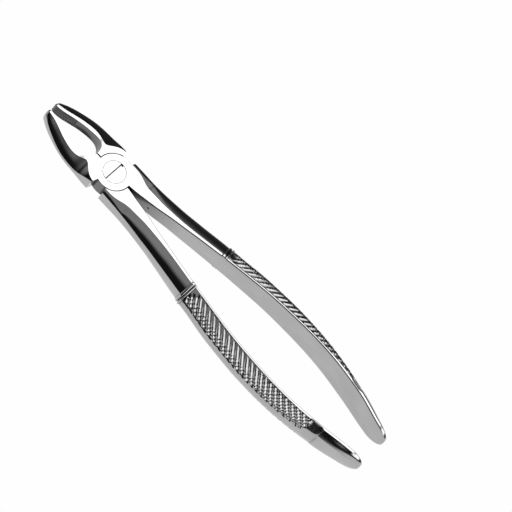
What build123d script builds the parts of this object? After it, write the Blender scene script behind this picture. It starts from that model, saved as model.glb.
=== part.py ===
from build123d import *
import os
from math import asin, cos, radians, sin, tan

# Upper anterior extraction forceps: two crossed steel halves that turn on one pivot screw.
# Millimetres. +X runs from the pivot to the beak tips, +Z along the screw towards its head, and
# z = 0 is the flat underside of the joint. The two halves are one shape, a beak on one side of the
# joint and a handle on the other, and the lower half is that shape turned half a turn about X.
# Both are modelled about the joint's mid-plane and raised into place at the end.

# Joint
JOINT_THICKNESS = 7.6
PLATE_THICKNESS = JOINT_THICKNESS / 2
DISC_RADIUS = 7.5
SHOULDER_CLEARANCE = 0.15  # between a disc and the other half's shoulder
PLATE_GAP = 0.05  # between the two joint plates
NOTCH_ANGLE = 17.5  # degrees from the cross axis to each opening stop
FLAT_REACH = 14.0  # how far the joint's flat top and underside reach towards the beaks
FLAT_BACK_REACH = 12.0  # and towards the handles
HALF_SLIT = 0.3  # from the centre line to the parting face beside the joint

# Pivot screw
HEAD_RADIUS = 4.6
HEAD_THICKNESS = 1.5
SHOULDER_RADIUS = 3.2
THREAD_RADIUS = 2.5
SLOT_WIDTH = 1.25
SLOT_DEPTH = 0.8
RUNNING_FIT = 0.05

# Beaks, by distance from the pivot: half height of the rim, rim's outer edge, ridge's distance
# from the centre line, ridge's half height
BEAK_STATIONS = [
    (1.5, 3.8, 9.3, 9.7, 3.55),
    (5.0, 3.8, 8.8, 10.1, 3.00),
    (9.4, 3.8, 5.4, 10.6, 1.35),
    (11.3, 3.7, 5.5, 10.65, 1.00),
    (15.0, 3.0, 6.6, 10.5, 0.85),
    (18.8, 2.95, 6.4, 10.0, 0.85),
    (22.6, 3.05, 5.4, 9.05, 1.00),
    (26.3, 3.25, 4.2, 7.7, 1.30),
    (30.1, 3.25, 3.0, 6.05, 1.65),
    (32.6, 3.1, 2.5, 4.5, 1.90),
    (34.0, 2.7, 2.0, 3.2, 1.70),
]
TIP = 34.0
TIP_HALF_GAP = 1.5
TIP_HEADING = (1, -0.06)  # where a beak's inner edge points at the tip
# The opening between the beaks, as distance from the pivot and half width
CROTCH = 9.6
OPENING = [(10.3, 3.5), (12.0, 4.75), (15.5, 5.2), (20.0, 4.65), (26.3, 3.0), (31.0, 1.75)]
# The spoon-shaped hollow inside each beak: distance from the pivot, half height, depth
HOLLOW = [(12.5, 1.6, 0.3), (16.0, 1.8, 1.2), (22.0, 2.1, 1.3), (28.0, 2.1, 0.9), (34.5, 1.9, 0.5)]

# Handles, by distance from the pivot: inner face from the centre line, half height there,
# outer face from the centre line, half height there
SHANK_STATIONS = [
    (1.5, 0.3, 5.0, 9.4, 2.85),
    (8.0, 0.3, 4.9, 9.45, 2.7),
    (14.0, 1.2, 3.9, 9.7, 2.3),
    (22.6, 2.7, 4.35, 10.35, 2.1),
    (33.0, 4.8, 4.85, 11.85, 2.25),
    (42.0, 6.45, 5.3, 13.2, 2.6),
    (53.0, 8.35, 5.8, 14.85, 2.95),
]
# The same inner face and half height along the grip, and the grip's thickness
GRIP_STATIONS = [
    (50.0, 7.9, 5.7, 7.4),
    (60.0, 9.5, 6.05, 7.25),
    (72.0, 11.1, 6.5, 7.15),
    (84.0, 12.2, 6.9, 7.0),
    (90.0, 12.5, 7.1, 6.72),
    (97.0, 12.65, 7.3, 6.4),
    (109.0, 12.2, 7.6, 5.6),
    (118.0, 11.15, 7.72, 5.1),
    (124.5, 10.2, 7.68, 4.75),
]
GRIP_BEND = (0.7, 0.74)  # a point of the grip's back, as shares of its thickness and half height
GRIP_BACK_FLAT = 0.12  # half height of the flat along the grip's back, as a share
# The plain end pad: inner face, half height, thickness, and half height of its outer face
PAD_STATIONS = [
    (120.5, 10.8, 7.7, 3.7, 4.8),
    (126.0, 9.85, 7.6, 3.85, 4.7),
    (132.0, 8.5, 7.15, 3.85, 4.3),
    (138.0, 7.3, 6.4, 3.5, 3.6),
    (141.4, 6.9, 5.2, 3.0, 2.75),
    (143.4, 6.65, 3.1, 2.3, 1.7),
    (144.0, 6.6, 1.5, 1.7, 0.9),
]
PAD_MARGIN = 1.05  # flat rim beside the pad's inner edge
GRIP_END = 121.5

# Collar between shank and grip: a bead and a thin ring
BEAD = (50.4, 51.6)
RING = (52.0, 52.7)
BEAD_HEIGHT = 0.5

# Hardness-test mark on the upper half's handle
MARK_AT = 18.4
MARK_RADIUS = 0.7
MARK_DEPTH = 0.25

# A cutter reaches this far past the steel
PAST = 1.0
FAR = 20.0  # and this far where it has to clear a whole arm


def station_plane(s):
    """The plane across the instrument at s from the pivot, with its x along Y and its y along Z."""
    return Plane(origin=(s, 0, 0), x_dir=(0, 1, 0), z_dir=(1, 0, 0))


def mirrored_face(top_edges, s):
    """A closed section from its upper edges, which run from the inner to the outer face."""
    bottom_edges = [edge.mirror(Plane.XZ) for edge in top_edges]
    inner, outer = top_edges[0] @ 0, top_edges[-1] @ 1
    sides = [
        Line((inner.X, -inner.Y), (inner.X, inner.Y)),
        Line((outer.X, outer.Y), (outer.X, -outer.Y)),
    ]
    return station_plane(s) * make_face(Wire(list(top_edges) + bottom_edges + sides))


def beak_section(s, rim, rim_edge, ridge, ridge_height):
    flat = Line((HALF_SLIT, rim), (rim_edge, rim))
    bevel = Line((rim_edge, rim), (ridge, ridge_height))
    return mirrored_face([flat, bevel], s)


def crowned(start, end):
    """An arc that leaves start level and falls to end."""
    run, fall = end[0] - start[0], start[1] - end[1]
    radius = (run**2 + fall**2) / (2 * fall)
    half_turn = asin(run / radius) / 2
    middle = (start[0] + radius * sin(half_turn), start[1] - radius * (1 - cos(half_turn)))
    return ThreePointArc(start, middle, end)


def shank_section(s, inner, height, outer, outer_height):
    return mirrored_face([crowned((inner, height), (outer, outer_height))], s)


def grip_section(s, inner, height, thickness):
    """A D: flat inside and half an ellipse outside, ending in a narrow flat."""
    out, up = GRIP_BEND
    curve = Spline(
        (inner, height),
        (inner + out * thickness, up * height),
        (inner + thickness, GRIP_BACK_FLAT * height),
        tangents=[(1, 0), (0, -1)],
    )
    return mirrored_face([curve], s)


def pad_section(s, inner, height, thickness, outer_height):
    flat = Line((inner, height), (inner + PAD_MARGIN, height))
    bevel = Line((inner + PAD_MARGIN, height), (inner + thickness, outer_height))
    return mirrored_face([flat, bevel], s)


def between(stations, s, column):
    """A station table's value at s, by straight interpolation."""
    for left, right in zip(stations, stations[1:]):
        if left[0] <= s <= right[0]:
            share = (s - left[0]) / (right[0] - left[0])
            return left[column] + share * (right[column] - left[column])
    raise ValueError(f"no station at {s}")


def collar_ring(start, end, rise):
    """A band round the outer faces of the handle between two distances."""
    faces = []
    for s in (start, end):
        inner, height, outer, outer_height = (between(SHANK_STATIONS, s, i) for i in range(1, 5))
        faces.append(shank_section(s, inner, height + rise, outer + rise, outer_height + rise))
    return loft(faces)


def block(x0, x1, y0, y1, z0, z1):
    return Pos((x0 + x1) / 2, (y0 + y1) / 2, (z0 + z1) / 2) * Box(x1 - x0, y1 - y0, z1 - z0)


def past_stop():
    """Everything on the other half's side of the opening stop."""
    side = FAR * tan(radians(NOTCH_ANGLE))
    outline = Polyline((0, 0), (side, FAR), (-FAR, FAR), (-FAR, -FAR), (0, -FAR), close=True)
    return extrude(make_face(outline), amount=FAR, both=True)


def above_and_below_flats():
    over = block(-FLAT_BACK_REACH, FLAT_REACH, -FAR, FAR, PLATE_THICKNESS, FAR)
    return over + mirror(over, about=Plane.XY)


def opening_between_beaks():
    """The inner outline of a beak in plan, from the crotch to past the tip."""
    past_tip = TIP + PAST
    edge = Spline((CROTCH, 0), *OPENING, (TIP, TIP_HALF_GAP), tangents=[(0, 1), TIP_HEADING])
    outline = edge + Polyline((TIP, TIP_HALF_GAP), (past_tip, TIP_HALF_GAP), (past_tip, 0), (CROTCH, 0))
    return extrude(make_face(outline), amount=2 * PLATE_THICKNESS, both=True)


def hollow_in_beak():
    lead = 0.4  # how far the cutter stands out of the beak's inner face
    faces = []
    for s, height, depth in HOLLOW:
        inner = between([(CROTCH, 0), *OPENING, (TIP + PAST, TIP_HALF_GAP)], s, 1)
        back = Line((inner - lead, -height), (inner - lead, height))
        curve = ThreePointArc((inner - lead, height), (inner + depth, 0), (inner - lead, -height))
        faces.append(station_plane(s) * make_face(Wire([back, curve])))
    return loft(faces)


def beak():
    blank = loft([beak_section(*station) for station in BEAK_STATIONS])
    return blank - above_and_below_flats() - opening_between_beaks() - hollow_in_beak() - past_stop()


def handle():
    shank = loft([shank_section(*station) for station in SHANK_STATIONS])
    grip = loft([grip_section(*station) for station in GRIP_STATIONS])
    grip = grip & block(BEAD[1], GRIP_END, 0, FAR, -FAR, FAR)
    pad = loft([pad_section(*station) for station in PAD_STATIONS])
    whole = (shank - above_and_below_flats() - past_stop()) + grip + pad
    for start, end in (BEAD, RING):
        whole += collar_ring(start, end, BEAD_HEIGHT)
    return whole


def half():
    """The upper half about the mid-plane: beak at +Y, handle at -Y, joint plate above."""
    arms = beak() + Rot(0, 0, 180) * handle()
    seat_radius = DISC_RADIUS + SHOULDER_CLEARANCE
    seat = Cylinder(seat_radius, FAR, align=(Align.CENTER, Align.CENTER, Align.MAX))
    plate_height = PLATE_THICKNESS - PLATE_GAP / 2
    plate = Cylinder(DISC_RADIUS, plate_height, align=(Align.CENTER, Align.CENTER, Align.MIN))
    return arms - Pos(0, 0, PLATE_GAP / 2) * seat + Pos(0, 0, PLATE_GAP / 2) * plate


def standing_disc(radius, bottom, top):
    return Pos(0, 0, bottom) * Cylinder(
        radius, top - bottom, align=(Align.CENTER, Align.CENTER, Align.MIN)
    )


def upper_half():
    bore = standing_disc(SHOULDER_RADIUS + RUNNING_FIT, -PAST, PLATE_THICKNESS + PAST)
    head_seat = PLATE_THICKNESS - HEAD_THICKNESS - RUNNING_FIT
    bore += standing_disc(HEAD_RADIUS + RUNNING_FIT, head_seat, PLATE_THICKNESS + PAST)
    inner = between(SHANK_STATIONS, MARK_AT, 1)
    mark = Pos(-MARK_AT, -inner + MARK_RADIUS - MARK_DEPTH, 0) * Sphere(MARK_RADIUS)
    return half() - bore - mark


def lower_half():
    thread_hole = standing_disc(THREAD_RADIUS, -PLATE_THICKNESS - PAST, PAST)
    return Rot(180, 0, 0) * half() - thread_hole


def pivot_screw():
    neck = PLATE_THICKNESS - HEAD_THICKNESS
    seat = -PLATE_GAP / 2
    head = standing_disc(HEAD_RADIUS, neck, PLATE_THICKNESS)
    slot = block(
        -SLOT_WIDTH / 2, SLOT_WIDTH / 2, -FAR, FAR, PLATE_THICKNESS - SLOT_DEPTH, PLATE_THICKNESS + PAST
    )
    thread = standing_disc(THREAD_RADIUS, -PLATE_THICKNESS, seat)
    return head - slot + standing_disc(SHOULDER_RADIUS, seat, neck) + thread


os.makedirs("parts", exist_ok=True)
pieces = {"upper_half": upper_half(), "lower_half": lower_half(), "pivot_screw": pivot_screw()}
for name, piece in pieces.items():
    piece = Pos(0, 0, PLATE_THICKNESS) * piece
    piece.label = name
    export_step(piece, f"parts/{name}.step")
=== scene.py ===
import bmesh
import bpy
import math
import numpy as np
from mathutils import Matrix, Vector


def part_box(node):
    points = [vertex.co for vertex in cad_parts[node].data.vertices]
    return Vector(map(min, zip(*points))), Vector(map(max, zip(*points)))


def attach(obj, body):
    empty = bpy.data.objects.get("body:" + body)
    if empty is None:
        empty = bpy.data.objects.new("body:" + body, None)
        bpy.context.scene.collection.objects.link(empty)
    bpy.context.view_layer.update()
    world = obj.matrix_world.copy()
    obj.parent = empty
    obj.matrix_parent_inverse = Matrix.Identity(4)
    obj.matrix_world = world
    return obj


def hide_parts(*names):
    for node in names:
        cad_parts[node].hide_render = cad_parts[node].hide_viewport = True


# Upper anterior extraction forceps. The two steel halves are one shape, so one half is made in
# millimetres about the joint's mid-plane, and the lower one is it turned half a turn about X.
# In that frame the beak lies at +Y, the handle at -Y, and both are measured by their distance
# from the pivot.

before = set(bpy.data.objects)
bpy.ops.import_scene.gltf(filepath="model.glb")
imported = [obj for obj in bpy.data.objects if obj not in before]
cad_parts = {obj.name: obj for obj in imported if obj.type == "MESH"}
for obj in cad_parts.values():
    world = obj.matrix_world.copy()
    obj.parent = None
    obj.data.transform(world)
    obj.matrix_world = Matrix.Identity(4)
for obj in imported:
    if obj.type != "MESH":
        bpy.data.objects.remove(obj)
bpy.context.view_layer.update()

MM = 0.001
screw_low, screw_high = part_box("pivot_screw")
JOINT_THICKNESS = (screw_high.z - screw_low.z) / MM
PLATE = JOINT_THICKNESS / 2
HEAD_RADIUS = (screw_high.x - screw_low.x) / MM / 2
LENGTH = -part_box("upper_half")[0].x / MM
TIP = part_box("upper_half")[1].x / MM

# Joint
DISC_RADIUS = 7.5
SEAT_RADIUS = 7.65
PLATE_GAP = 0.05
NOTCH_ANGLE = math.radians(17.5)
HALF_SLIT = 0.3

START = 1.5  # where a beak or handle begins inside the joint
FLAT_REACH = 12.5  # how far the joint's flat faces reach towards the beaks
FLAT_BACK_REACH = 12.0  # and towards the handles

# Cutters reach past the steel: up and down, along and across the joint's flats, and past a stop
CLEAR = 9.0
FLAT_CLEAR = 15.0
STOP_CLEAR = 24.0

# Places of a piece's further materials
SATIN = 1
# the slot wall's place holds a near-black steel that paints shade
SLOT_WALL_PAINTED_SHADE = 1
# the dull place holds a rougher, dark copy of the steel whose darkness is painted shade in hollows and gaps
DULL_PAINTED_SHADE = 2
STEELS = []  # the forged steel's finishes, which every solid takes before it is combined

# Metres: how far the painted shade spreads from a corner, and where painted shade darkens the handles' roots
PAINTED_CORNER_SHADE_REACH = 0.0012
ROOT_PAINTED_SHADE_SPAN = (-0.034, -0.008)

# Screw
HEAD_DEPTH = 1.5
SHOULDER_RADIUS = 3.2
THREAD_RADIUS = 2.5
SLOT_WIDTH = 1.3
SLOT_DEPTH = 0.8
SLOT_LEAN = 0.4
RUNNING_FIT = 0.05

# Hardness-test mark on the upper half's handle
MARK_AT = 18.4
MARK_RADIUS = 0.7
MARK_DEPTH = 0.28

# Collar, grip and end pad along the handle
BEAD = (50.4, 51.7)
RING = (51.95, 52.75)
BEAD_HEIGHT = 0.45
GRIP = (53.0, 119.0)
NECK = (117.0, 122.2, 124.3)
NECK_DEPTH = 0.4
END_ROUND = 7.0
PAD_MARGIN = 1.05
GRIP_BREAK = math.radians(23)  # how steeply the grip's back leaves its level margin

# Cut pattern of the grip
RIB_ANGLE = math.radians(48)
RIB_PITCH = 2.72  # along the handle
RIB_DEPTH = 0.68
CROSS_PITCH = 1.9
CROSS_DEPTH = 0.3
PIT_DEPTH = 0.25
# the dark floor where two cuts meet is painted shade
PIT_SHARE = 0.14  # a cut's floor is dark where two cuts meet by more than this

# Teeth inside the beaks
TEETH = (23.5, 33.2)
TOOTH_PITCH = 0.9
TOOTH_DEPTH = 0.26
ROW_PITCH = 1.25
ROW_DEPTH = 0.3

# How much a corner is eased: the joint's plate, the screw, a beak's outside and a handle's inner face
EASE = 0.16
SCREW_EASE = 0.08
BEAK_EASE = 0.1
INNER_EASE = 0.42

# Distance; the bevel's upper edge from the centre line and its half height; its lower edge from
# the centre line and half height; outermost point from the centre line
BEAK_ROWS = [
    (1.5, 8.6, 4.25, 9.6, 3.60, 9.7),
    (5.0, 8.0, 4.20, 10.0, 3.00, 10.1),
    (7.5, 6.6, 4.05, 10.3, 2.05, 10.4),
    (9.8, 5.1, 3.90, 10.5, 1.25, 10.6),
    (11.3, 5.4, 3.70, 10.55, 1.00, 10.65),
    (13.2, 6.1, 3.25, 10.5, 0.90, 10.6),
    (15.0, 6.5, 3.00, 10.4, 0.85, 10.5),
    (18.8, 6.3, 2.95, 9.85, 0.85, 10.0),
    (22.6, 5.4, 3.05, 8.85, 1.00, 9.05),
    (26.3, 4.2, 3.25, 7.5, 1.30, 7.7),
    (30.1, 3.0, 3.25, 5.8, 1.65, 6.05),
    (32.6, 2.5, 3.10, 4.3, 1.90, 4.5),
    (34.0, 2.2, 2.95, 3.45, 1.95, 3.6),
]
CROTCH = 9.6
# The inner edge of a beak in plan: distance and offset from the centre line
BEAK_EDGE = [
    (CROTCH, -1.5), (CROTCH, 0.0), (10.05, 2.6), (11.6, 4.5), (15.5, 5.2),
    (20.0, 4.65), (26.3, 3.0), (31.0, 1.75), (34.0, 1.5), (36.0, 1.5),
]
HOLLOW_ROWS = [(9.0, 0.0), (12.0, 0.25), (16.0, 1.1), (22.0, 1.3), (28.0, 0.9), (34.0, 0.45), (36.0, 0.4)]

# Distance; inner face from the centre line; half height; the level margin's edge; crest where
# the top rolls over and its half height; outermost point, all from the centre line; the share of
# the way from edge to crest that is a plain facet
SHANK_ROWS = [
    (1.5, 0.3, 3.80, 7.5, 9.3, 2.85, 9.4, 0.3),
    (8.0, 0.3, 3.80, 7.1, 9.4, 2.70, 9.45, 0.35),
    (12.0, 0.85, 3.85, 5.9, 9.5, 2.40, 9.6, 0.7),
    (16.6, 1.6, 4.05, 5.6, 9.75, 2.20, 9.85, 0.5),
    (21.1, 2.4, 4.30, 5.5, 10.15, 2.10, 10.25, 0.25),
    (25.6, 3.4, 4.50, 5.75, 10.65, 2.05, 10.8, 0.12),
    (30.1, 4.3, 4.70, 6.1, 11.15, 2.15, 11.4, 0.1),
    (34.6, 5.1, 4.95, 6.6, 11.8, 2.30, 12.1, 0.1),
    (39.1, 5.95, 5.20, 7.25, 12.45, 2.45, 12.75, 0.1),
    (43.6, 6.75, 5.40, 7.95, 13.15, 2.65, 13.45, 0.1),
    (48.2, 7.55, 5.60, 8.7, 13.85, 2.80, 14.15, 0.1),
    (53.0, 8.35, 5.80, 9.35, 14.5, 2.95, 14.85, 0.1),
]
FACET_SLOPE = 17.5
CREST_SLOPE = 46.0
# Distance; inner face from the centre line; half height; level margin; thickness
GRIP_ROWS = [
    (50.0, 7.9, 5.7, 0.8, 7.65),
    (57.2, 9.05, 5.95, 0.65, 7.19),
    (66.2, 10.35, 6.3, 0.65, 7.29),
    (75.3, 11.5, 6.6, 0.65, 6.99),
    (84.3, 12.2, 6.9, 0.65, 6.85),
    (93.3, 12.6, 7.2, 0.65, 6.45),
    (102.4, 12.6, 7.45, 0.65, 5.93),
    (111.4, 12.0, 7.65, 0.85, 5.31),
    (118.0, 11.15, 7.7, 0.9, 4.9),
    (124.3, 10.2, 7.65, 0.9, 4.4),
]
# Distance; inner face from the centre line; half height; crest from the inner face, its half height
PAD_ROWS = [
    (122.0, 10.55, 7.7, 3.4, 5.0),
    (124.5, 10.15, 7.65, 3.4, 4.95),
    (129.4, 9.1, 7.4, 3.45, 4.7),
    (134.0, 8.05, 6.9, 3.35, 4.2),
    (138.5, 7.2, 6.4, 3.05, 3.75),
    (144.0, 6.6, 6.0, 2.7, 3.4),
]


# ---------------------------------------------------------------- shape helpers

def smooth_rows(rows):
    """A function that runs a natural cubic spline through rows of (distance, values...)."""
    rows = np.array(rows, float)
    at, values = rows[:, 0], rows[:, 1:]
    gaps = np.diff(at)
    system, sides = np.eye(len(at)), np.zeros_like(values)
    for i in range(1, len(at) - 1):
        system[i, i - 1:i + 2] = gaps[i - 1], 2 * (gaps[i - 1] + gaps[i]), gaps[i]
        sides[i] = 6 * ((values[i + 1] - values[i]) / gaps[i] - (values[i] - values[i - 1]) / gaps[i - 1])
    bends = np.linalg.solve(system, sides)

    def read(s):
        s = np.asarray(s, float)
        i = np.clip(np.searchsorted(at, s) - 1, 0, len(at) - 2)
        gap = gaps[i][..., None]
        right = ((s - at[i])[..., None]) / gap
        left = 1 - right
        curve = (left**3 - left) * bends[i] + (right**3 - right) * bends[i + 1]
        return left * values[i] + right * values[i + 1] + curve * gap**2 / 6

    return read


def step(value, low, high):
    """0 below low, 1 above high, and smooth between."""
    t = np.clip((value - low) / (high - low), 0, 1)
    return t * t * (3 - 2 * t)


def hermite(start, end, start_slope, end_slope, count):
    """Points between two outline points that leave and arrive at slopes in degrees below level."""
    t = np.linspace(0, 1, count)[None, :, None]
    run = np.linalg.norm(end - start, axis=-1)[:, None, None]

    def heading(slope):
        slope = np.radians(slope)
        return np.stack([np.cos(slope), -np.sin(slope)], -1)[:, None, :] * run

    a, b = start[:, None, :], end[:, None, :]
    return (
        (2 * t**3 - 3 * t**2 + 1) * a
        + (t**3 - 2 * t**2 + t) * heading(start_slope)
        + (3 * t**2 - 2 * t**3) * b
        + (t**3 - t**2) * heading(end_slope)
    )


def straight(start, end, count):
    t = np.linspace(0, 1, count)[None, :, None]
    return start[:, None, :] * (1 - t) + end[:, None, :] * t


def pair(y, z):
    return np.stack([y, z], -1)


def mesh_object(name, vertices, faces):
    mesh = bpy.data.meshes.new(name)
    mesh.from_pydata(vertices, [], faces)
    mesh.validate()
    for material in STEELS:
        mesh.materials.append(material)
    obj = bpy.data.objects.new(name, mesh)
    bpy.context.scene.collection.objects.link(obj)
    return obj


def sweep(name, stations, rings, materials=None):
    """A closed solid through rings of (y, z) at distances along X, capped at both ends."""
    rings_n, ring_size = rings.shape[:2]
    x = np.broadcast_to(np.asarray(stations, float).reshape(rings_n, -1), (rings_n, ring_size))
    points = np.concatenate([x[..., None], rings], -1).reshape(-1, 3)
    faces = []
    for k in range(rings_n - 1):
        for j in range(ring_size):
            a, b = k * ring_size + j, k * ring_size + (j + 1) % ring_size
            faces.append((a, b, b + ring_size, a + ring_size))
    faces.append(tuple(reversed(range(ring_size))))
    faces.append(tuple(range((rings_n - 1) * ring_size, rings_n * ring_size)))
    obj = mesh_object(name, points.tolist(), faces)
    make_outward(obj)
    if materials is not None:
        indexes = np.zeros(len(obj.data.polygons), np.int32)
        indexes[: (rings_n - 1) * ring_size] = materials.ravel()
        obj.data.polygons.foreach_set("material_index", indexes)
    return obj


def make_outward(obj):
    bm = bmesh.new()
    bm.from_mesh(obj.data)
    bmesh.ops.recalc_face_normals(bm, faces=bm.faces)
    bm.to_mesh(obj.data)
    bm.free()


def both_sides(upper):
    """A full ring from its upper outline, which runs from the inner face to z = 0."""
    lower = upper[:, -2::-1] * (1, -1)
    return np.concatenate([upper, lower], 1)


def prism(name, outline, low, high):
    """An upright prism over an outline in plan."""
    n = len(outline)
    points = [(x, y, low) for x, y in outline] + [(x, y, high) for x, y in outline]
    faces = [tuple(reversed(range(n))), tuple(range(n, 2 * n))]
    faces += [(i, (i + 1) % n, n + (i + 1) % n, n + i) for i in range(n)]
    obj = mesh_object(name, points, faces)
    make_outward(obj)
    return obj


def circle(radius, count=128):
    turns = (2 * math.pi * i / count for i in range(count))
    return [(radius * math.cos(a), radius * math.sin(a)) for a in turns]


def turned(name, profile, count=128):
    """A solid turned about Z from (radius, height) points, closed on the axis."""
    points, faces = [], []
    for radius, height in profile:
        points += [(x, y, height) for x, y in circle(radius, count)]
    for k in range(len(profile) - 1):
        for j in range(count):
            a, b = k * count + j, k * count + (j + 1) % count
            faces.append((a, b, b + count, a + count))
    faces.append(tuple(reversed(range(count))))
    faces.append(tuple(range((len(profile) - 1) * count, len(profile) * count)))
    obj = mesh_object(name, points, faces)
    make_outward(obj)
    return obj


def combine(target, tool, operation):
    """Applies an exact boolean and removes the tool."""
    modifier = target.modifiers.new(operation, "BOOLEAN")
    modifier.operation = operation
    modifier.object = tool
    modifier.solver = "EXACT"
    settle(target)
    bpy.data.objects.remove(tool)
    return target


def settle(obj):
    """Replaces a mesh by the result of its modifiers."""
    bpy.context.view_layer.update()
    evaluated = obj.evaluated_get(bpy.context.evaluated_depsgraph_get())
    mesh = bpy.data.meshes.new_from_object(evaluated)
    obj.modifiers.clear()
    obj.data = mesh
    return obj


def turn(obj, degrees, axis):
    obj.data.transform(Matrix.Rotation(math.radians(degrees), 4, axis))
    return obj


# ---------------------------------------------------------------- beak

def beak_blank():
    rows = smooth_rows(BEAK_ROWS)
    stations = np.concatenate([np.arange(START, 31.5, 0.3), np.linspace(31.5, TIP, 20)])
    corner_y, corner_z, ridge_y, ridge_z, outer_y = rows(stations).T
    # the tip's corners are rounded off
    nose = np.sqrt(1 - 0.42 * np.clip((stations - TIP + 1.0) / 1.0, 0, 1) ** 2.4)
    corner_z, ridge_z = corner_z * nose, ridge_z * nose
    middle = 1.6
    corner_y, ridge_y, outer_y = (middle + (y - middle) * nose for y in (corner_y, ridge_y, outer_y))
    inner = np.full_like(stations, HALF_SLIT)
    margin = straight(pair(inner, corner_z), pair(corner_y, corner_z), 8)
    fall = np.degrees(np.arctan2(corner_z - ridge_z, ridge_y - corner_y))
    crown = 0.2 + 0.8 * step(stations, 11, 16)
    bevel = hermite(
        pair(corner_y, corner_z), pair(ridge_y, ridge_z), fall - 4 * crown, fall + 12 * crown, 24
    )
    back = hermite(pair(ridge_y, ridge_z), pair(outer_y, 0 * outer_y), 0 * fall + 76, 0 * fall + 90, 9)
    rings = both_sides(np.concatenate([margin[:, :-1], bevel[:, :-1], back], 1))
    return sweep("beak", stations, rings)


def beak_opening():
    """The space between the beaks on one side, with the hollow and the teeth on its wall."""
    edge = np.array(BEAK_EDGE)
    along = np.concatenate([[0], np.cumsum(np.linalg.norm(np.diff(edge, axis=0), axis=1))])
    curve = smooth_rows(np.column_stack([along, edge]))
    teeth_from = along[-1] - (edge[-1, 0] - TEETH[0]) * 1.03
    t = np.concatenate([np.linspace(0, teeth_from, 90)[:-1], np.linspace(teeth_from, along[-1], 150)])
    plan = curve(t)
    heading = np.gradient(plan, t, axis=0)
    heading /= np.linalg.norm(heading, axis=1)[:, None]
    outward = np.stack([-heading[:, 1], heading[:, 0]], -1)
    height = np.linspace(-1, 1, 61)
    reach = 5.2
    z = reach * height[None, :] * np.ones((len(t), 1))
    s = plan[:, 0][:, None]
    rim = np.maximum(smooth_rows(BEAK_ROWS)(plan[:, 0])[:, 1], 1)[:, None]
    inside = np.clip(1 - (z / rim) ** 2, 0, 1)
    depth = smooth_rows(HOLLOW_ROWS)(plan[:, 0])[:, :1] * inside
    row = step(s, TEETH[0], TEETH[0] + 0.3) * (1 - step(s, TEETH[1], TEETH[1] + 0.3))
    row = row * step(inside, 0.08, 0.2)
    tooth = 0.5 - 0.5 * np.cos(2 * np.pi * s / TOOTH_PITCH)
    channel = np.clip(1 - np.abs((z / ROW_PITCH + 0.5) % 1 - 0.5) * ROW_PITCH / 0.22, 0, 1)
    depth = depth + row * np.maximum(TOOTH_DEPTH * tooth, ROW_DEPTH * channel)
    x = plan[:, 0][:, None] + outward[:, 0][:, None] * depth
    y = plan[:, 1][:, None] + outward[:, 1][:, None] * depth
    wall = np.stack([x, y, z], -1)
    back = wall[:, ::-1].copy()
    back[..., 1] = -3.0
    rings = np.concatenate([wall, back[:, :1], back[:, -1:]], 1)
    return sweep("opening", rings[..., 0], rings[..., 1:])


# ---------------------------------------------------------------- handle

def handle_stations():
    return np.concatenate([
        np.arange(START, BEAD[0], 0.5),
        np.linspace(BEAD[0], GRIP[0], 34)[:-1],
        np.arange(GRIP[0], NECK[2] - 0.1, 0.2),
        [NECK[2] - 0.06, NECK[2] + 0.02],
        np.arange(NECK[2] + 0.4, LENGTH - 1.2, 0.45),
        LENGTH - 1.2 * (1 - np.sin(np.linspace(0, 1, 9) * math.pi / 2)) - 0.004,
    ])


def eased_rim(inner, height, edge):
    """The inner face's rounded corner and the level margin, out to the margin's edge."""
    ease = INNER_EASE
    quarter = np.linspace(0, math.pi / 2, 11)[None, :]
    y = (inner + ease)[:, None] - ease * np.cos(quarter)
    z = (height - ease)[:, None] + ease * np.sin(quarter)
    level = straight(pair(inner + ease, height), pair(edge, height), 6)[:, 1:-1]
    return np.concatenate([np.stack([y, z], -1), level], 1)


def shank_outline(s):
    inner, height, edge, crest, crest_z, outer, share = smooth_rows(SHANK_ROWS)(s).T
    height = np.where(s < 14, np.minimum(height, PLATE), height)
    share = np.clip(share, 0.05, 0.8)
    knee_y = edge + share * (crest - edge)
    knee_z = height - share * (crest - edge) * math.tan(math.radians(FACET_SLOPE))
    knee, ridge, side = pair(knee_y, knee_z), pair(crest, crest_z), pair(outer, 0 * inner)
    flat = 0 * inner
    return np.concatenate([
        eased_rim(inner, height, edge),
        straight(pair(edge, height), knee, 8)[:, :-1],
        hermite(knee, ridge, flat + FACET_SLOPE + 2, flat + CREST_SLOPE, 22)[:, :-1],
        hermite(ridge, side, flat + 78, flat + 90, 22),
    ], 1)


def grip_outline(s):
    """A level margin, then part of an ellipse that starts at an angle to it."""
    inner, height, margin, thick = smooth_rows(GRIP_ROWS)(s).T
    turn_by = np.linspace(GRIP_BREAK, math.pi / 2, 50)[None, :]
    start = math.sin(GRIP_BREAK)
    reach = (thick - margin)[:, None] / (1 - start)
    y = (inner + margin)[:, None] + reach * (np.sin(turn_by) - start)
    z = height[:, None] * np.cos(turn_by) / math.cos(GRIP_BREAK)
    return np.concatenate([eased_rim(inner, height, inner + margin), np.stack([y, z], -1)], 1)


def pad_outline(s):
    inner, height, crest, crest_z = smooth_rows(PAD_ROWS)(s).T
    t = np.clip((s - (LENGTH - END_ROUND)) / END_ROUND, 0, 1)
    roundness = np.sqrt(1 - t**2.2)
    height, crest_z = 0.9 + (height - 0.9) * roundness, 0.5 + (crest_z - 0.5) * roundness
    crest = PAD_MARGIN + 0.15 + (crest - PAD_MARGIN - 0.15) * roundness
    rim, ridge = pair(inner + PAD_MARGIN, height), pair(inner + crest, crest_z)
    side = pair(inner + crest + 0.35, 0 * inner)
    flat = 0 * inner
    return np.concatenate([
        eased_rim(inner, height, inner + PAD_MARGIN),
        hermite(rim, ridge, flat + 30, flat + 57, 25)[:, :-1],
        hermite(ridge, side, flat + 80, flat + 90, 26),
    ], 1)


def outline_normals(outline):
    along = np.gradient(outline, axis=1)
    along /= np.linalg.norm(along, axis=-1, keepdims=True)
    return np.stack([-along[..., 1], along[..., 0]], -1)


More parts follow.
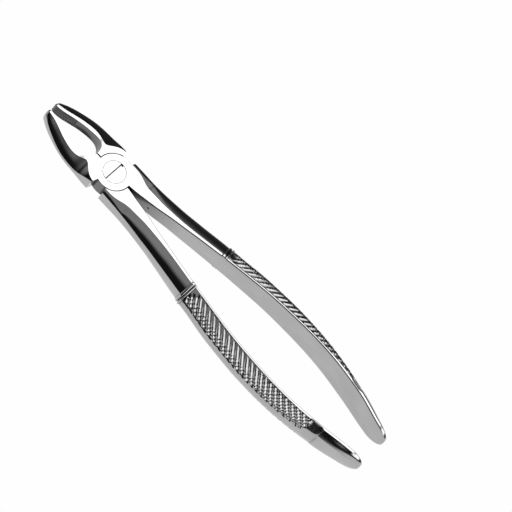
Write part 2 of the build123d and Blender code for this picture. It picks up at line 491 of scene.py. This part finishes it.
def groove(phase, share):
    """How deep a V groove is at a phase, 1 in its middle, with grooves share of the pitch wide."""
    away = np.abs((phase + 0.5) % 1 - 0.5)
    v = np.clip(1 - away / (share / 2), 0, 1)
    return v * (1 - 0.25 * v)


def cut_pattern(s, outline):
    """Depth of the crossing file cuts at every outline point, and how far two of them meet."""
    steps = np.linalg.norm(np.diff(outline, axis=1), axis=-1)
    around = np.concatenate([np.zeros((len(s), 1)), np.cumsum(steps, 1)], 1) - 0.2
    s = s[:, None]
    # hand-cut: the pitch and the line of the cuts wander a little
    wander = 0.5 * np.sin(s / 7.3) + 0.15 * np.sin(s / 3.1)
    slant = 1 / math.tan(RIB_ANGLE)
    ribs = groove((s + wander - around * slant) / RIB_PITCH, 0.78)
    crossing = groove((s - wander + around * slant) / CROSS_PITCH, 0.6)
    edge = step(around, 0.85, 1.5)
    height = outline[..., 1]
    side = step(height, 1.9, 3.0)
    front = step(s + 1.0 * around, GRIP[0] + 2.5, GRIP[0] + 7.5) * step(s, GRIP[0], GRIP[0] + 1)
    rear = 1 - step(s + 0.35 * np.abs(around - 5), GRIP[1] - 1.2, GRIP[1] + 0.6)
    # the second set of cuts keeps to the outer side at the front and spreads over the back
    low_band = 1 - step(height, 4.3, 5.2)
    spread = np.maximum(low_band, step(s, 84, 104))
    depth = np.maximum(RIB_DEPTH * ribs, CROSS_DEPTH * spread * crossing)
    pits = ribs * crossing * spread
    cover = edge * side * front * rear
    return (depth + PIT_DEPTH * pits) * cover, pits * cover


def collar_rise(s):
    rise = np.zeros_like(s)
    for low, high in (BEAD, RING):
        middle, half = (low + high) / 2, (high - low) / 2
        rise = np.maximum(rise, BEAD_HEIGHT * np.sqrt(np.clip(1 - ((s - middle) / half) ** 2, 0, 1)))
    return rise


def handle_blank():
    s = handle_stations()
    shank, grip, pad = shank_outline(s), grip_outline(s), pad_outline(s)
    to_grip = step(s, BEAD[1] - 0.1, RING[0] + 0.1)[:, None, None]
    to_pad = (s > NECK[2]).astype(float)[:, None, None]
    outline = shank * (1 - to_grip) + grip * to_grip
    outline = outline * (1 - to_pad) + pad * to_pad
    normals = outline_normals(outline)
    neck = step(s, NECK[0], NECK[0] + 3) * (1 - step(s, NECK[1], NECK[2])) * (s < NECK[2])
    around = np.linspace(0, 1, outline.shape[1])[None, :]
    cuts, pits = cut_pattern(s, outline)
    offset = collar_rise(s)[:, None] - cuts
    on_top = step(around, 0.16, 0.3) * (1 - step(around, 0.45, 0.65))
    offset = offset - NECK_DEPTH * neck[:, None] * on_top
    # the collar's beads fade out over the inner corner, so that the inner face stays flat
    offset = offset * step(np.arange(outline.shape[1]), 0, 10)[None, :]
    outline = outline + normals * offset[..., None]
    ring = both_sides(outline)
    inner_face = straight(ring[:, -1], ring[:, 0], 12)[:, 1:-1]
    ring = np.concatenate([ring, inner_face], 1)
    pits = np.concatenate([pits, pits[:, -2::-1]], 1)
    in_neck = (s > NECK[0] + 2) & (s < NECK[2])
    materials = np.zeros((len(s) - 1, ring.shape[1]), np.int32)
    # painted shade: the floors where two cuts meet take the dark dull steel
    painted_pit_shade = np.where(pits[:-1] > PIT_SHARE, DULL_PAINTED_SHADE, 0)
    materials[:, :pits.shape[1]] = np.where(in_neck[:-1, None], SATIN, painted_pit_shade)
    # the inner face takes the satin steel, which carries painted shade at the handles' roots
    materials[:, -11:] = SATIN
    return sweep("handle", s, ring, materials)


# ---------------------------------------------------------------- halves and screw

def past_stop(arm):
    """Cuts an arm back to its opening stop."""
    reach = STOP_CLEAR
    side = reach * math.tan(NOTCH_ANGLE)
    outline = [(0, 0), (side, reach), (-reach, reach), (-reach, -reach), (0, -reach)]
    return combine(arm, prism("stop", outline, -reach, reach), "DIFFERENCE")


def slab(low, high):
    back, front, side = -FLAT_BACK_REACH, FLAT_REACH, FLAT_CLEAR
    return prism("slab", [(back, -side), (front, -side), (front, side), (back, side)], low, high)


def half():
    beak = beak_blank()
    bevel_edges(beak, BEAK_EASE)
    beak = combine(beak, beak_opening(), "DIFFERENCE")
    for low, high in ((PLATE, CLEAR), (-CLEAR, -PLATE)):
        beak = combine(beak, slab(low, high), "DIFFERENCE")
    beak = past_stop(beak)
    handle = handle_blank()
    handle = past_stop(handle)
    turn(handle, 180, "Z")
    seat = [
        (SEAT_RADIUS + EASE, -CLEAR),
        (SEAT_RADIUS + EASE, -PLATE),
        (SEAT_RADIUS, -PLATE + EASE),
        (SEAT_RADIUS, PLATE_GAP / 2),
    ]
    for arm in (beak, handle):
        combine(arm, turned("seat", seat), "DIFFERENCE")
    plate = turned("plate", [
        (DISC_RADIUS, PLATE_GAP / 2),
        (DISC_RADIUS, PLATE - EASE),
        (DISC_RADIUS - EASE, PLATE),
    ])
    opening_wall = beak_inner_face()
    # painted shade: the wall of the opening between the beaks and the plate's rim take the dark dull steel
    finish_faces(beak, DULL_PAINTED_SHADE, opening_wall)
    finish_faces(plate, DULL_PAINTED_SHADE, lambda at, out: abs(out.z) < 0.5)
    whole = combine(plate, beak, "UNION")
    return combine(whole, handle, "UNION")


def beak_inner_face():
    """Tells whether a face belongs to the wall of the opening between the beaks."""
    rows = smooth_rows(BEAK_ROWS)

    def belongs(at, out):
        if at.x < CROTCH or out.y > 0.3 or abs(out.z) > 0.9:
            return False
        corner, ridge = rows(at.x)[0], rows(at.x)[2]
        return at.y < max(corner, 2.0) + 0.6 * (ridge - corner) and at.x < TIP - 0.01

    return belongs


def bevel_edges(obj, width):
    modifier = obj.modifiers.new("bevel", "BEVEL")
    modifier.width = width
    modifier.segments = 2
    modifier.limit_method = "ANGLE"
    modifier.angle_limit = math.radians(35)
    return settle(obj)


def split_many_sided(obj):
    """Splits faces of more than four corners, which a boolean leaves, into triangles that don't
    fold over each other."""
    bm = bmesh.new()
    bm.from_mesh(obj.data)
    bmesh.ops.triangulate(bm, faces=[face for face in bm.faces if len(face.verts) > 4])
    bm.to_mesh(obj.data)
    bm.free()


def finish_piece(obj, name, node, body):
    """Scales a piece to metres, lifts it off the mid-plane and puts it in its CAD node's place."""
    obj.name = obj.data.name = name
    split_many_sided(obj)
    obj.data.transform(Matrix.Translation((0, 0, PLATE)))
    obj.data.transform(Matrix.Scale(MM, 4))
    obj.data.shade_smooth()
    obj.data.set_sharp_from_angle(angle=math.radians(12.5))
    modifier = obj.modifiers.new("normals", "WEIGHTED_NORMAL")
    modifier.keep_sharp = True
    settle(obj)
    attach(obj, body)
    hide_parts(node)
    return obj


def upper_half(blank):
    bore = turned("bore", [
        (SHOULDER_RADIUS + RUNNING_FIT, -CLEAR),
        (SHOULDER_RADIUS + RUNNING_FIT, PLATE - HEAD_DEPTH - RUNNING_FIT),
        (HEAD_RADIUS + RUNNING_FIT, PLATE - HEAD_DEPTH - RUNNING_FIT),
        (HEAD_RADIUS + RUNNING_FIT, PLATE - SCREW_EASE),
        (HEAD_RADIUS + RUNNING_FIT + SCREW_EASE, PLATE),
        (HEAD_RADIUS + RUNNING_FIT + SCREW_EASE, CLEAR),
    ])
    combine(blank, bore, "DIFFERENCE")
    steps = [math.pi * i / 24 for i in range(1, 24)]
    mark = turned("mark", [(MARK_RADIUS * math.sin(a), -MARK_RADIUS * math.cos(a)) for a in steps], 48)
    # painted shade: the test mark's hollow takes the dark dull steel
    finish_faces(mark, DULL_PAINTED_SHADE, lambda at, out: True)
    inner = smooth_rows(SHANK_ROWS)(MARK_AT)[0]
    mark.data.transform(Matrix.Translation((-MARK_AT, -inner + MARK_RADIUS - MARK_DEPTH, 0)))
    return combine(blank, mark, "DIFFERENCE")


def lower_half(blank):
    turn(blank, 180, "X")
    hole = turned("hole", [(THREAD_RADIUS, -CLEAR), (THREAD_RADIUS, CLEAR)])
    return combine(blank, hole, "DIFFERENCE")


def pivot_screw():
    neck = PLATE - HEAD_DEPTH
    screw = turned("screw", [
        (THREAD_RADIUS - SCREW_EASE, -PLATE),
        (THREAD_RADIUS, -PLATE + SCREW_EASE),
        (THREAD_RADIUS, -PLATE_GAP / 2),
        (SHOULDER_RADIUS, -PLATE_GAP / 2),
        (SHOULDER_RADIUS, neck),
        (HEAD_RADIUS, neck),
        (HEAD_RADIUS, PLATE - SCREW_EASE),
        (HEAD_RADIUS - SCREW_EASE, PLATE),
    ])
    # the slot's wall towards the beaks is worn and leans out a little towards its mouth, and it is painted
    # dark as shade
    low, high, half_slot = PLATE - SLOT_DEPTH, PLATE + 1, SLOT_WIDTH / 2
    outline = [(-half_slot, -CLEAR), (half_slot, -CLEAR), (half_slot, CLEAR), (-half_slot, CLEAR)]
    slot = prism("slot", outline, low, high)
    lean = SLOT_LEAN * (high - low) / SLOT_DEPTH
    for vertex in slot.data.vertices:
        if vertex.co.x > 0:
            vertex.co.x += lean - SLOT_LEAN if vertex.co.z > PLATE else -SLOT_LEAN
    screw = combine(screw, slot, "DIFFERENCE")
    # painted shade: the leaning slot wall takes the near-black slot steel
    finish_faces(screw, SLOT_WALL_PAINTED_SHADE, lambda at, out: out.x < -0.6 and at.z > low and abs(at.x) < 1)
    return screw


def finish_faces(obj, material, chosen):
    """Puts the faces chosen by their centre and normal in one of a piece's further materials."""
    for face in obj.data.polygons:
        if chosen(face.center, face.normal):
            face.material_index = material


# ---------------------------------------------------------------- materials

def steel(name, shade, roughness, grain, darkest_painted_corner_shade=0.1, root_painted_shade=1.0):
    """Steel with a fine drawn grain, faintly uneven polish and painted shade darkening its corners. It
    is painted darker towards the handles' roots by the joint, as shade, if its root argument is under 1."""
    material = bpy.data.materials.new(name)
    material.use_nodes = True
    nodes, links = material.node_tree.nodes, material.node_tree.links
    shader = nodes["Principled BSDF"]
    shader.inputs["Metallic"].default_value = 1
    place = nodes.new("ShaderNodeTexCoord").outputs["Object"]

    def noise(scale, detail):
        """Noise at so many patches to the metre along X, Y and Z."""
        stretch = nodes.new("ShaderNodeMapping")
        links.new(place, stretch.inputs["Vector"])
        stretch.inputs["Scale"].default_value = scale
        texture = nodes.new("ShaderNodeTexNoise")
        links.new(stretch.outputs[0], texture.inputs["Vector"])
        texture.inputs["Scale"].default_value = 1
        texture.inputs["Detail"].default_value = detail
        return texture.outputs["Fac"]

    def spread(value, start, end, low, high):
        node = nodes.new("ShaderNodeMapRange")
        links.new(value, node.inputs["Value"])
        for socket, number in zip(("From Min", "From Max", "To Min", "To Max"), (start, end, low, high)):
            node.inputs[socket].default_value = number
        return node.outputs["Result"]

    drawn = noise((300, 5000, 5000), 3)
    clouds = noise((90, 140, 140), 2)
    links.new(spread(drawn, 0.3, 0.7, roughness - 0.03, roughness + 0.03), shader.inputs["Roughness"])

    # painted shade: ambient occlusion darkens the colour in corners, cuts and hollows
    corners = nodes.new("ShaderNodeAmbientOcclusion")
    corners.samples = 6
    corners.inputs["Distance"].default_value = PAINTED_CORNER_SHADE_REACH
    painted_corner_shade = spread(corners.outputs["AO"], 0.60, 0.94, darkest_painted_corner_shade, 1)
    polish = spread(clouds, 0.3, 0.7, shade * 0.95, shade * 1.05)
    position = nodes.new("ShaderNodeSeparateXYZ")
    links.new(place, position.inputs[0])
    # painted shade: the colour darkens towards the handles' roots by the joint
    painted_root_shade = spread(position.outputs["X"], *ROOT_PAINTED_SHADE_SPAN, 1, root_painted_shade)
    shading = polish
    for factor in (painted_corner_shade, painted_root_shade):
        product = nodes.new("ShaderNodeMath")
        product.operation = "MULTIPLY"
        links.new(shading, product.inputs[0])
        links.new(factor, product.inputs[1])
        shading = product.outputs[0]
    colour = nodes.new("ShaderNodeCombineColor")
    for channel in colour.inputs:
        links.new(shading, channel)
    links.new(colour.outputs[0], shader.inputs["Base Color"])

    bump = nodes.new("ShaderNodeBump")
    bump.inputs["Strength"].default_value = grain
    bump.inputs["Distance"].default_value = 0.01 * MM
    links.new(drawn, bump.inputs["Height"])
    links.new(bump.outputs[0], shader.inputs["Normal"])
    return material


# ---------------------------------------------------------------- room, light and camera

TILT = math.radians(28)
ROLL = math.radians(47.1)
LENS_MM = 200.0
VIEW_WIDTH = 0.1927
AIM_BACK, AIM_ACROSS = 0.0594, 0.01745


def aim_camera():
    """The camera stands over the upper half's beak side, tilted from straight above, and the
    instrument lies across the picture from the upper left to the lower right."""
    back = Vector((0, math.sin(TILT), math.cos(TILT)))
    across = Vector((0, -math.cos(TILT), math.sin(TILT)))
    along = Vector((-1, 0, 0))
    right = math.cos(ROLL) * along + math.sin(ROLL) * across
    up = math.cos(ROLL) * across - math.sin(ROLL) * along
    data = bpy.data.cameras.new("camera")
    data.lens = LENS_MM
    data.clip_end = 20
    distance = VIEW_WIDTH * data.lens / data.sensor_width
    aim = Vector((0, 0, screw_high.z)) + AIM_BACK * along + AIM_ACROSS * across
    camera = bpy.data.objects.new("camera", data)
    axes = Matrix((right, up, back)).transposed().to_4x4()
    camera.matrix_world = Matrix.Translation(aim + distance * back) @ axes
    bpy.context.scene.collection.objects.link(camera)
    bpy.context.scene.camera = camera


# Angle from straight above, towards -Y; brightness. A long softbox hangs over the instrument
# along X, on its -Y side. The rest of the studio is dark down to the pale table, which reaches
# further out at +Y than at -Y.
STUDIO = [
    (-180, 0.86), (-96, 0.86), (-89, 0.06), (-82, 0.02), (-62, 0.012), (-32, 0.012), (-16, 0.36), (8, 0.24),
    (12, 0.26), (16, 2.6), (53, 2.6), (58, 0.9), (63, 0.30), (68, 0.05), (78, 0.02), (106, 0.05), (134, 0.86),
    (180, 0.86),
]
# A second light stands beyond the handles' ends and a weak one beyond the beaks
END_LIGHT = 2.2
FRONT_LIGHT = 0.35
WHITE = 0.99


def studio_light():
    world = bpy.data.worlds.new("studio")
    bpy.context.scene.world = world
    world.use_nodes = True
    nodes, links = world.node_tree.nodes, world.node_tree.links
    background = nodes["Background"]

    def math_node(operation, *values):
        node = nodes.new("ShaderNodeMath")
        node.operation = operation
        for socket, value in zip(node.inputs, values):
            if isinstance(value, (int, float)):
                socket.default_value = value
            else:
                links.new(value, socket)
        return node.outputs[0]

    direction = nodes.new("ShaderNodeTexCoord").outputs["Generated"]
    parts = nodes.new("ShaderNodeSeparateXYZ")
    links.new(direction, parts.inputs[0])
    x, y, z = parts.outputs
    angle = math_node("ARCTAN2", math_node("MULTIPLY", y, -1.0), z)
    turn_share = math_node("MULTIPLY_ADD", angle, 0.5 / math.pi, 0.5)
    ramp = nodes.new("ShaderNodeValToRGB")
    ramp.color_ramp.interpolation = "EASE"
    stops = ramp.color_ramp.elements
    while len(stops) > 1:
        stops.remove(stops[-1])
    for i, (degrees, brightness) in enumerate(STUDIO):
        stop = stops[0] if i == 0 else stops.new((degrees + 180) / 360)
        stop.position = (degrees + 180) / 360
        stop.color = (brightness / 3, brightness / 3, brightness / 3, 1)
    links.new(turn_share, ramp.inputs[0])

    def fade(value, start, end):
        node = nodes.new("ShaderNodeMapRange")
        node.interpolation_type = "SMOOTHSTEP"
        links.new(value, node.inputs["Value"])
        node.inputs["From Min"].default_value = start
        node.inputs["From Max"].default_value = end
        return node.outputs["Result"]

    softbox = math_node("MULTIPLY", ramp.outputs[0], 3.0)
    # the softbox ends some way out on either side
    above = fade(z, -0.02, 0.02)
    ends = math_node("ADD", fade(x, 0.35, 0.62), math_node("MULTIPLY", fade(x, -0.30, -0.55), 0.8))
    ends = math_node("MULTIPLY", ends, above)
    softbox = math_node("MULTIPLY", softbox, math_node("SUBTRACT", 1.03, ends))
    end_light = math_node("MULTIPLY", fade(x, -0.48, -0.62), END_LIGHT)
    end_light = math_node("MULTIPLY", end_light, fade(z, 0.14, 0.38))
    front_light = math_node("MULTIPLY", fade(x, 0.55, 0.75), FRONT_LIGHT)
    sky = math_node("MAXIMUM", softbox, math_node("ADD", end_light, front_light))
    is_camera = nodes.new("ShaderNodeLightPath").outputs["Is Camera Ray"]
    mix = nodes.new("ShaderNodeMix")
    mix.data_type = "FLOAT"
    links.new(is_camera, mix.inputs[0])
    links.new(sky, mix.inputs[2])
    mix.inputs[3].default_value = WHITE
    links.new(mix.outputs[0], background.inputs[0])


# ---------------------------------------------------------------- the scene

aim_camera()
studio_light()
bpy.context.scene.view_settings.view_transform = "Standard"

finishes_and_painted_shades = {
    "forged_steel": [
        steel("polished_steel", 0.455, 0.10, 0.1),
        # satin steel with painted shade towards the handles' roots
        steel("satin_steel_root_painted_shade", 0.44, 0.20, 0.3, root_painted_shade=0.2),
        # a rougher copy of the steel whose dark colour is painted shade
        steel("dull_steel_painted_shade", 0.17, 0.30, 0.4),
    ],
    "screw_steel": [
        steel("screw_steel", 0.455, 0.15, 0.1, darkest_painted_corner_shade=0.8),
        # a rough copy of the steel whose near-black colour is painted shade in the slot
        steel("slot_steel_painted_shade", 0.04, 0.40, 0.4),
    ],
}
STEELS.extend(finishes_and_painted_shades["forged_steel"])

shape = half()
other = shape.copy()
other.data = shape.data.copy()
bpy.context.scene.collection.objects.link(other)
pieces = [
    (finish_piece(upper_half(shape), "upper_half_steel", "upper_half", "upper"), "forged_steel"),
    (finish_piece(lower_half(other), "lower_half_steel", "lower_half", "lower"), "forged_steel"),
    (finish_piece(pivot_screw(), "screw_steel", "pivot_screw", "lower"), "screw_steel"),
]
for piece, slot in pieces:
    for i, material in enumerate(finishes_and_painted_shades[slot]):
        piece.data.materials[i] = material
    print(piece.name, len(piece.data.polygons), "faces")
